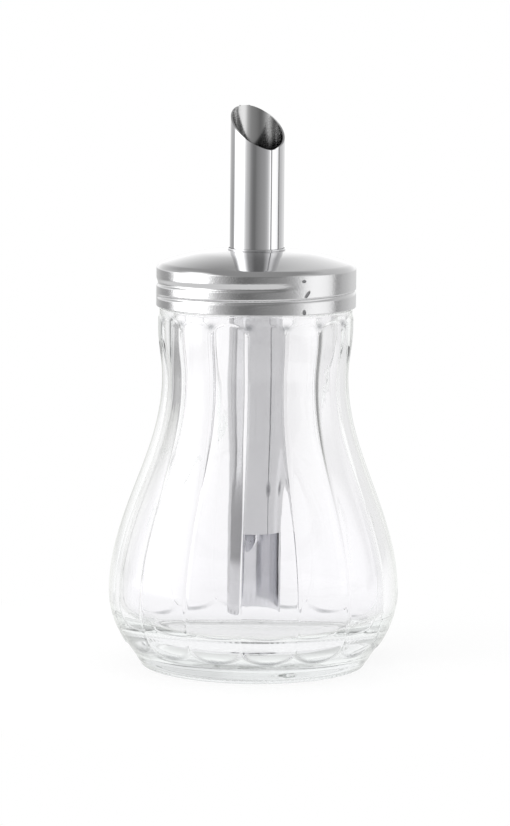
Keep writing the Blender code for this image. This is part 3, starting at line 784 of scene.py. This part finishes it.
def polished_steel(group):
    """Mirror finish with faint scratches along the tube, dark welds and a duller bore, whose colour carries painted
    light and shade: lighter at the window, darker up towards the mouth.
    """
    material, nodes, links = new_material("polished steel")
    shader = nodes["Principled BSDF"]
    place = object_place(nodes)
    scratches, smudges = add_wear(nodes, links, place, TUBE_SCRATCHES, group)
    bore = add_range(nodes, links, axis_distance(nodes, links, place), *BORE_FACE, 1, 0)
    welds = add_math(nodes, links, 'MAXIMUM', seam_mask(nodes, links, place, scratches),
                     weld_marks(nodes, links, place))
    up = add_range(nodes, links, add_split(nodes, links, place)["Z"], *BORE_HEIGHTS, 0, 1)
    steel = add_mix(nodes, links, welds, TUBE_STEEL, WELD_STEEL)
    # Painted light and shade in the bore, by height
    steel = add_mix(nodes, links, bore, steel, add_colours(nodes, links, up, BORE_STEEL))
    rough = add_math(nodes, links, 'ADD', add_range(nodes, links, smudges, *TUBE_SMUDGES, *TUBE_ROUGHNESS),
                     add_range(nodes, links, bore, 0, 1, 0, BORE_ROUGHER))
    links.new(steel, shader.inputs["Base Color"])
    links.new(rough, shader.inputs["Roughness"])
    shader.inputs["Metallic"].default_value = 1
    links.new(add_bump(nodes, links, scratches, strength=0.06, distance=STEEL_GRAIN), shader.inputs["Normal"])
    return material


def flap_steel(group):
    """Pickled sheet with rolling marks down the plate, its colour raised almost to white as painted light so that it
    shows pale inside the tube.
    """
    material, nodes, links = new_material("flap steel")
    shader = nodes["Principled BSDF"]
    scratches, smudges = add_wear(nodes, links, object_place(nodes), FLAP_SCRATCHES, group)
    # Painted light: the near-white flap colour
    links.new(add_colours(nodes, links, smudges, FLAP_STEEL), shader.inputs["Base Color"])
    links.new(add_range(nodes, links, smudges, *NOISE_SPAN, *FLAP_ROUGHNESS), shader.inputs["Roughness"])
    shader.inputs["Metallic"].default_value = 1
    links.new(add_bump(nodes, links, scratches, strength=0.1, distance=STEEL_GRAIN), shader.inputs["Normal"])
    return material


def satin_steel(group):
    """The pressed lid: ring-brushed on its crown, brighter and smoother on its rolled side, with painted shade
    darkening the dents where the thread starts.
    """
    material, nodes, links = new_material("satin steel")
    shader = nodes["Principled BSDF"]
    place = object_place(nodes)
    up = add_split(nodes, links, place)["Z"]
    rings = nodes.new("ShaderNodeCombineXYZ")
    links.new(axis_distance(nodes, links, place), rings.inputs[0])
    links.new(up, rings.inputs[2])
    brushing, _ = add_wear(nodes, links, rings.outputs[0], LID_RINGS, group)
    grain, smudges = add_wear(nodes, links, place, LID_SCRATCHES, group)
    crown = add_range(nodes, links, up, *CROWN_EDGE_HEIGHTS, 0, 1)
    rough = add_math(nodes, links, 'ADD', add_range(nodes, links, smudges, *NOISE_SPAN, 0, LID_SMUDGES),
                     add_range(nodes, links, crown, 0, 1, *LID_ROUGHNESS))
    dents = pinch_marks(nodes, links, place)
    grain = add_math(nodes, links, 'MULTIPLY', grain, add_range(nodes, links, crown, 0, 1, *LID_GRAIN))
    height = add_math(nodes, links, 'ADD', add_math(nodes, links, 'MULTIPLY', brushing, LID_BRUSHING), grain)
    height = add_math(nodes, links, 'SUBTRACT', height, add_math(nodes, links, 'MULTIPLY', dents, DENT_DEPTH))
    # Painted shade: the dents darken the lid's colour
    links.new(add_mix(nodes, links, dents, LID_STEEL, DENT_STEEL), shader.inputs["Base Color"])
    links.new(rough, shader.inputs["Roughness"])
    shader.inputs["Metallic"].default_value = 1
    links.new(add_bump(nodes, links, height, strength=1, distance=STEEL_GRAIN), shader.inputs["Normal"])
    return material


def glass_height(nodes, links, place, parts):
    """Slight unevenness and upright streaks of pressed glass, and the stipple on its bearing edge."""
    dashes = add_math(nodes, links, 'ARCTAN2', parts["Y"], parts["X"])
    dashes = add_math(nodes, links, 'SINE', add_math(nodes, links, 'MULTIPLY', dashes, STIPPLE_COUNT))
    stipple = add_math(nodes, links, 'MULTIPLY', dashes, add_range(nodes, links, parts["Z"], *STIPPLE_HEIGHTS, 0, 1))
    drawn = add_vector_math(nodes, links, 'MULTIPLY', place, STREAK_STRETCH)
    height = stipple
    for noise, depth in ((add_noise(nodes, links, place, scale=UNEVEN_SCALE, detail=1), UNEVEN_DEPTH),
                         (add_noise(nodes, links, drawn, scale=1, detail=2), STREAK_DEPTH)):
        height = add_math(nodes, links, 'ADD', height, add_math(nodes, links, 'MULTIPLY', noise, depth))
    return height


def clear_glass():
    """Pressed glass: clear, a little uneven, with a stippled bearing edge and a faint green body; painted shade greys
    its colour at grazing angles and in dark crescents on the pressed relief.
    """
    material, nodes, links = new_material("clear glass")
    shader = nodes["Principled BSDF"]
    output = nodes["Material Output"]
    place = object_place(nodes)
    parts = add_split(nodes, links, place)
    edge = nodes.new("ShaderNodeLayerWeight")
    edge.inputs["Blend"].default_value = 0.5
    # Painted shade: dark crescents stored on the outside darken the glass's colour
    relief = nodes.new("ShaderNodeAttribute")
    relief.attribute_name = "pressed edge"
    up = add_range(nodes, links, parts["Z"], 0, GLASS_BODY_TOP, 0, 1)
    # Painted shade greying the glass at grazing angles, times the colour that darkens and blues towards the bottom
    tint = add_mix(nodes, links, 1, add_colours(nodes, links, edge.outputs["Facing"], GLASS_FACING),
                   add_colours(nodes, links, up, GLASS_BODY), 'MULTIPLY')
    links.new(add_mix(nodes, links, relief.outputs["Fac"], tint, GLASS_RELIEF), shader.inputs["Base Color"])
    shader.inputs["Roughness"].default_value = 0
    shader.inputs["IOR"].default_value = GLASS_IOR
    shader.inputs["Transmission Weight"].default_value = 1
    height = glass_height(nodes, links, place, parts)
    links.new(add_bump(nodes, links, height, strength=0.12, distance=0.15 * MM), shader.inputs["Normal"])
    absorb = nodes.new("ShaderNodeVolumeAbsorption")
    absorb.inputs["Color"].default_value = (*GLASS_GREEN, 1)
    absorb.inputs["Density"].default_value = GLASS_DENSITY
    links.new(absorb.outputs[0], output.inputs["Volume"])
    clear = nodes.new("ShaderNodeBsdfTransparent")
    path = nodes.new("ShaderNodeLightPath")
    mix = nodes.new("ShaderNodeMixShader")
    trapped = add_math(nodes, links, 'MAXIMUM',
                       add_math(nodes, links, 'GREATER_THAN', path.outputs["Glossy Depth"], GLASS_MIRRORS),
                       add_math(nodes, links, 'GREATER_THAN', path.outputs["Ray Depth"], GLASS_STEPS))
    links.new(add_math(nodes, links, 'MAXIMUM', path.outputs["Is Shadow Ray"], trapped), mix.inputs[0])
    links.new(shader.outputs[0], mix.inputs[1])
    links.new(clear.outputs[0], mix.inputs[2])
    links.new(mix.outputs[0], output.inputs["Surface"])
    return material


def liner_board():
    """Soft white card with a fine grain."""
    material, nodes, links = new_material("liner board")
    shader = nodes["Principled BSDF"]
    grain = add_noise(nodes, links, object_place(nodes), scale=LINER_GRAIN, detail=5)
    links.new(add_colours(nodes, links, grain, LINER_BOARD), shader.inputs["Base Color"])
    shader.inputs["Roughness"].default_value = LINER_ROUGHNESS
    links.new(add_bump(nodes, links, grain, strength=0.3, distance=0.05 * MM), shader.inputs["Normal"])
    return material


# Photo booth: white walls, a bright panel at the left, the open dark side towards the camera.
# Each ring of it is a list of (degrees, brightness): 0 is towards the camera, 90 to its right.
# HORIZON, WALL and CEILING are what steel mirrors, THROUGH what the glass lets through, INSIDE what the steel
# in the jar mirrors, ZENITH the middle of the ceiling and PLAIN_LIGHT what falls on dull surfaces.
HORIZON = [(-180, 0.75), (-154, 0.68), (-135, 0.5), (-120, 0.45), (-114, 0.9), (-107, 2.2), (-101, 3.0), (-62, 3.0),
           (-58, 1.7), (-54, 1.15), (-45, 0.76), (-36, 0.6), (-27, 0.34), (-18, 0.23), (-9, 0.21), (-1, 0.29),
           (8, 0.34), (33, 0.47), (44, 0.62), (51, 0.9), (57, 1.35), (64, 1.6), (76, 1.6), (88, 1.5), (98, 1.35),
           (101, 1.1), (103, 0.2), (107, 0.2), (109, 0.66), (123, 0.76), (144, 0.95), (180, 0.75)]
WALL = [(-180, 1.35), (-140, 1.1), (-112, 1.6), (-100, 3.0), (-66, 3.0), (-54, 1.6), (-40, 0.6), (-10, 0.3),
        (30, 0.38), (56, 1.2), (80, 1.6), (100, 1.1), (108, 0.7), (140, 1.0), (180, 1.35)]
CEILING = [(-180, 0.55), (-172, 0.42), (-122, 0.6), (-112, 1.6), (-100, 3.0), (-66, 3.0), (-56, 1.6), (-42, 0.6),
           (-10, 0.26), (36, 0.3), (58, 1.0), (80, 1.3), (100, 0.7), (130, 0.8), (172, 0.8), (180, 0.55)]
ZENITH = 0.42
THROUGH = [(-180, 1), (-130, 1), (-124, 0.35), (-114, 0.35), (-108, 1), (-78, 1), (-72, 0.4), (-62, 0.4), (-56, 1.1),
           (-22, 0.9), (-14, 0.35), (14, 0.35), (22, 0.9), (56, 1.0), (62, 0.4), (72, 0.4), (78, 0.9), (106, 0.8),
           (114, 0.3), (124, 0.3), (130, 0.8), (166, 0.86), (174, 0.97), (180, 1)]
INSIDE = [(-180, 0.85), (-128, 0.85), (-121, 0.8), (-114, 0.4), (-107, 0.4), (-102, 1.15), (-60, 1.15), (-52, 1.4),
          (-46, 1.4), (-42, 0.88), (88, 0.88), (104, 1.1), (122, 0.95), (180, 0.85)]
PEAK = 3.0
# Heights of a direction between which each ring of the booth gives way to the next
WALL_FROM, CEILING_FROM, ZENITH_FROM = (-0.08, 0.05), (0.15, 0.62), (0.72, 0.88)
THROUGH_FADE = (0.3, 0.8)
THROUGH_HIGH = 0.7
PLAIN_LIGHT = 0.9
# Counts of mirrorings and glass faces on a light's way, between two whole numbers
MIRRORED, MIRRORED_TWICE = 0.5, 1.5
THROUGH_ONE_FACE, THROUGH_BOTH_WALLS = 0.5, 3.5


def add_panorama(nodes, links, share, stops):
    """Brightness all round the booth, from (degrees, brightness) stops."""
    stops = [((degrees + 180) / 360, (value / PEAK, value / PEAK, value / PEAK)) for degrees, value in stops]
    return add_math(nodes, links, 'MULTIPLY', add_colours(nodes, links, share, stops), PEAK)


def compass_turn(nodes, links, parts):
    """Turn of a direction about the upright axis: 0 towards the camera, a quarter turn to its right."""
    toward = add_math(nodes, links, 'MULTIPLY', parts["Y"], -1)
    return add_math(nodes, links, 'ARCTAN2', parts["X"], toward)


def inside_mirror(nodes, links, path):
    """1 for light that steel inside the jar mirrors out through the glass."""
    return add_math(nodes, links, 'MULTIPLY',
                    add_math(nodes, links, 'GREATER_THAN', path.outputs["Glossy Depth"], MIRRORED),
                    add_math(nodes, links, 'GREATER_THAN', path.outputs["Transmission Depth"], THROUGH_BOTH_WALLS))


def make_world():
    world = bpy.data.worlds.new("photo booth")
    bpy.context.scene.world = world
    world.use_nodes = True
    nodes, links = world.node_tree.nodes, world.node_tree.links
    look = add_split(nodes, links, nodes.new("ShaderNodeTexCoord").outputs["Generated"])
    share = add_range(nodes, links, compass_turn(nodes, links, look), -math.pi, math.pi, 0, 1)
    booth = add_panorama(nodes, links, share, HORIZON)
    for band, above in ((WALL_FROM, add_panorama(nodes, links, share, WALL)),
                        (CEILING_FROM, add_panorama(nodes, links, share, CEILING)), (ZENITH_FROM, ZENITH)):
        booth = add_choice(nodes, links, add_range(nodes, links, look["Z"], *band, 0, 1), booth, above)
    through = add_math(nodes, links, 'MULTIPLY', add_panorama(nodes, links, share, THROUGH),
                       add_range(nodes, links, look["Z"], *THROUGH_FADE, 1, THROUGH_HIGH))
    path = nodes.new("ShaderNodeLightPath")
    through = add_choice(nodes, links, inside_mirror(nodes, links, path), through,
                         add_panorama(nodes, links, share, INSIDE))
    glassed = add_math(nodes, links, 'GREATER_THAN', path.outputs["Transmission Depth"], THROUGH_ONE_FACE)
    light = add_choice(nodes, links, path.outputs["Is Glossy Ray"], PLAIN_LIGHT, booth)
    light = add_choice(nodes, links, glassed, light, through)
    light = add_choice(nodes, links, path.outputs["Is Camera Ray"], light, 1)
    links.new(light, nodes["Background"].inputs["Strength"])
    nodes["Background"].inputs["Color"].default_value = (1, 1, 1, 1)


# White table, with its distances counted from the jar's axis
FLOOR_RADIUS = 4.0
FLOOR_STEPS = 96
FLOOR_GAP = 0.02 * MM
FLOOR_WHITE = 0.9
FLOOR_ROUGHNESS = 0.6
FLOOR_GLOW = 0.8
SHADOW_EDGE = (0.04, 0.11)
MIRRORED_FLOOR = (0.25, 0.5)
INSIDE_FLOOR = (0.06, 0.08)

# Dark card on the table at the jar's left, which only the steel inside the jar mirrors
CARD_LEFT = (math.radians(-130), math.radians(-124))
CARD_RIGHT = (math.radians(-62), math.radians(-56))
CARD_NEAR = (0.155, 0.165)
CARD_FAR = (0.312, 0.335)
CARD_DARK = 0.58


def card_glow(nodes, links, from_jar, card, path):
    """The table's glow, darker on the card: from its near edge on, or all of it once mirrored a second time."""
    again = add_math(nodes, links, 'GREATER_THAN', path.outputs["Glossy Depth"], MIRRORED_TWICE)
    dark = add_math(nodes, links, 'MAXIMUM', add_range(nodes, links, from_jar, *CARD_NEAR, 0, CARD_DARK),
                    add_math(nodes, links, 'MULTIPLY', CARD_DARK, again))
    return add_math(nodes, links, 'SUBTRACT', 1, add_math(nodes, links, 'MULTIPLY', dark, card))


def white_table():
    """White paper that glows for the eye, takes the jar's shadow, and ends early for what mirrors it."""
    material, nodes, links = new_material("white table")
    shader = nodes["Principled BSDF"]
    shader.inputs["Base Color"].default_value = (FLOOR_WHITE, FLOOR_WHITE, FLOOR_WHITE, 1)
    shader.inputs["Roughness"].default_value = FLOOR_ROUGHNESS
    shader.inputs["Specular IOR Level"].default_value = 0
    path = nodes.new("ShaderNodeLightPath")
    place = object_place(nodes)
    from_jar = axis_distance(nodes, links, place)
    mirrored = inside_mirror(nodes, links, path)
    turn = compass_turn(nodes, links, add_split(nodes, links, place))
    card = mirrored
    for share in (add_range(nodes, links, turn, *CARD_LEFT, 0, 1), add_range(nodes, links, turn, *CARD_RIGHT, 1, 0),
                  add_range(nodes, links, from_jar, *CARD_FAR, 1, 0)):
        card = add_math(nodes, links, 'MULTIPLY', card, share)
    glow = nodes.new("ShaderNodeEmission")
    links.new(card_glow(nodes, links, from_jar, card, path), glow.inputs["Strength"])
    seen = path.outputs["Is Camera Ray"]
    for kind in ("Is Glossy Ray", "Is Transmission Ray"):
        seen = add_math(nodes, links, 'MAXIMUM', seen, path.outputs[kind])
    seen = add_math(nodes, links, 'MULTIPLY', seen, add_range(nodes, links, from_jar, *SHADOW_EDGE, FLOOR_GLOW, 1))
    far = add_range(nodes, links, from_jar, *MIRRORED_FLOOR, 0, 1)
    far = add_math(nodes, links, 'MULTIPLY', far, path.outputs["Is Glossy Ray"])
    beyond = add_range(nodes, links, from_jar, *INSIDE_FLOOR, 0, 1)
    beyond = add_math(nodes, links, 'MULTIPLY', beyond, add_math(nodes, links, 'SUBTRACT', mirrored, card))
    opening = add_math(nodes, links, 'MAXIMUM', far, beyond)
    clear = nodes.new("ShaderNodeBsdfTransparent")
    surface = shader.outputs[0]
    for share, other in ((seen, glow), (opening, clear)):
        mix = nodes.new("ShaderNodeMixShader")
        links.new(share, mix.inputs[0])
        links.new(surface, mix.inputs[1])
        links.new(other.outputs[0], mix.inputs[2])
        surface = mix.outputs[0]
    links.new(surface, nodes["Material Output"].inputs["Surface"])
    return material


def make_floor():
    deselect()
    bpy.ops.mesh.primitive_circle_add(vertices=FLOOR_STEPS, radius=FLOOR_RADIUS, fill_type='NGON')
    floor = bpy.context.object
    floor.name = "floor"
    floor.location.z = -FLOOR_GAP
    floor.data.materials.append(white_table())


# Soft lamp at the upper left
PANEL_SIZE = (0.9, 0.7)
PANEL_POWER = 12
PANEL_PLACE = (-0.9, -0.5, 1.1)
PANEL_AIM = Vector((0, 0, 0.05))


def make_lamp():
    data = bpy.data.lights.new("soft panel", 'AREA')
    data.shape = 'RECTANGLE'
    data.size, data.size_y = PANEL_SIZE
    data.energy = PANEL_POWER
    lamp = bpy.data.objects.new("soft panel", data)
    lamp.location = PANEL_PLACE
    lamp.rotation_euler = (PANEL_AIM - lamp.location).to_track_quat('-Z', 'Y').to_euler()
    lamp.visible_glossy = False
    lamp.visible_transmission = False
    bpy.context.scene.collection.objects.link(lamp)


make_camera()
make_world()
make_floor()
make_lamp()
steel_wear = steel_wear_group()
polished = polished_steel(steel_wear)
satin = satin_steel(steel_wear)
make_jar(clear_glass())
make_lid(satin)
make_collar(polished)
make_tube(polished)
finer_copy("flap_plate", "dosing_flap", 0.06 * MM, flap_steel(steel_wear), "flap", "polished_steel")
finer_copy("pin_rod", "flap_pin", 0.08 * MM, polished, "lid", "polished_steel")
finer_copy("ring_liner", "sealing_ring", 0.15 * MM, liner_board(), "seal", "liner")

bpy.context.scene.view_settings.view_transform = 'Standard'
